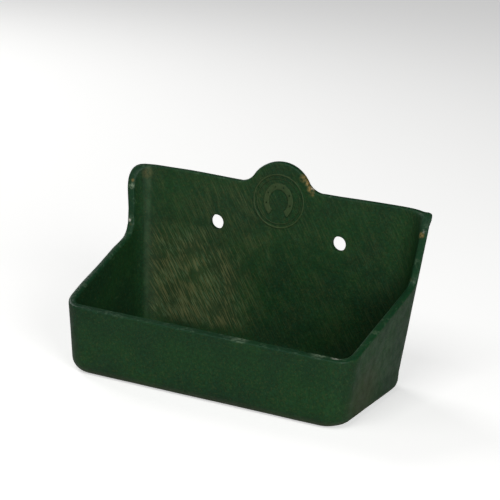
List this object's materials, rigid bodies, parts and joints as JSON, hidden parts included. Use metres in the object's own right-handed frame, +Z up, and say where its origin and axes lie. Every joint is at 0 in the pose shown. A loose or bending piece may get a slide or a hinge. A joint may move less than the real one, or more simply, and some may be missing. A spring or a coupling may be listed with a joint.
{
  "type": "stable feed box",
  "caption": "Wall-mounted stable feed box: one thick moulding with a low front, sloping sides, curled back-plate edges, a round top tab and two bolt holes.",
  "frame": {"origin": "middle of the two wall-bolt holes, on the flat back face that lies against the wall", "axes": "+X right seen from the front, -Y towards the front rim (+Y into the wall), +Z up"},
  "size_m": [0.2988, 0.1556, 0.1873],
  "materials": {
    "green_moulding": "dark green moulded feed-bucket rubber, satin, scuffed and rubbed pale on its edges"
  },
  "bodies": {
    "root": {"feed_box_moulding": "green_moulding"}
  },
  "joints": []
}
